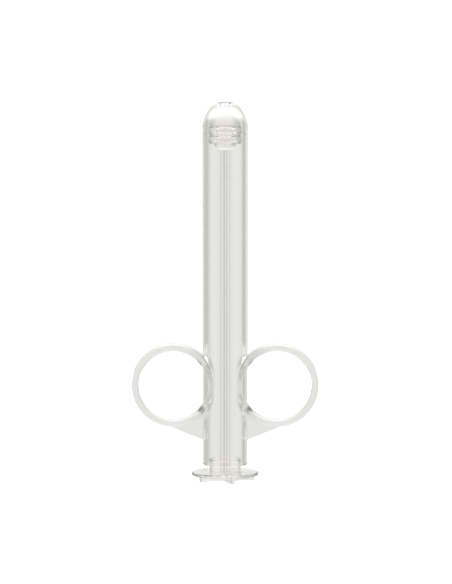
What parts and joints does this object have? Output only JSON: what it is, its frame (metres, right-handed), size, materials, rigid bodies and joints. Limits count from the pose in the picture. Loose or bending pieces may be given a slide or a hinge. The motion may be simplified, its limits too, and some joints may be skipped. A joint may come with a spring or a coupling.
{
  "type": "finger ring plunger syringe",
  "caption": "Clear plastic plunger syringe: round barrel with a blunt domed nose and outlet, a finger ring on each side, and a sliding plunger with a thumb disc.",
  "frame": {"origin": "centre of the footprint, at the underside of the thumb disc's grip ribs, with the plunger pushed fully home", "axes": "+Z along the barrel towards the nose, X through both finger rings with the left one at -X, -Y is the front"},
  "size_m": [0.0658, 0.0236, 0.1332],
  "materials": {
    "clear_barrel": "clear, polished",
    "clear_plunger": "clear, polished",
    "clear_seal": "translucent silicone, satin"
  },
  "bodies": {
    "plunger": {"thumb_disc": "clear_plunger", "guide_collar": "clear_plunger", "plunger_rod": "clear_plunger", "piston": "clear_plunger"},
    "seals": {"piston_seal_front": "clear_seal", "piston_seal_rear": "clear_seal"},
    "barrel": {"barrel_tube": "clear_barrel", "nose_cap": "clear_barrel", "finger_ring_left": "clear_barrel", "finger_ring_right": "clear_barrel"}
  },
  "joints": [
    {"name": "plunger_twist", "type": "hinge", "parent": "plunger", "child": "seals", "pos_m": [0, 0, 0.12], "axis": [0, 0, 1], "continuous": true},
    {"name": "barrel_slide", "type": "slide", "parent": "seals", "child": "barrel", "axis": [0, 0, 1], "range_m": [0, 0.11]}
  ]
}
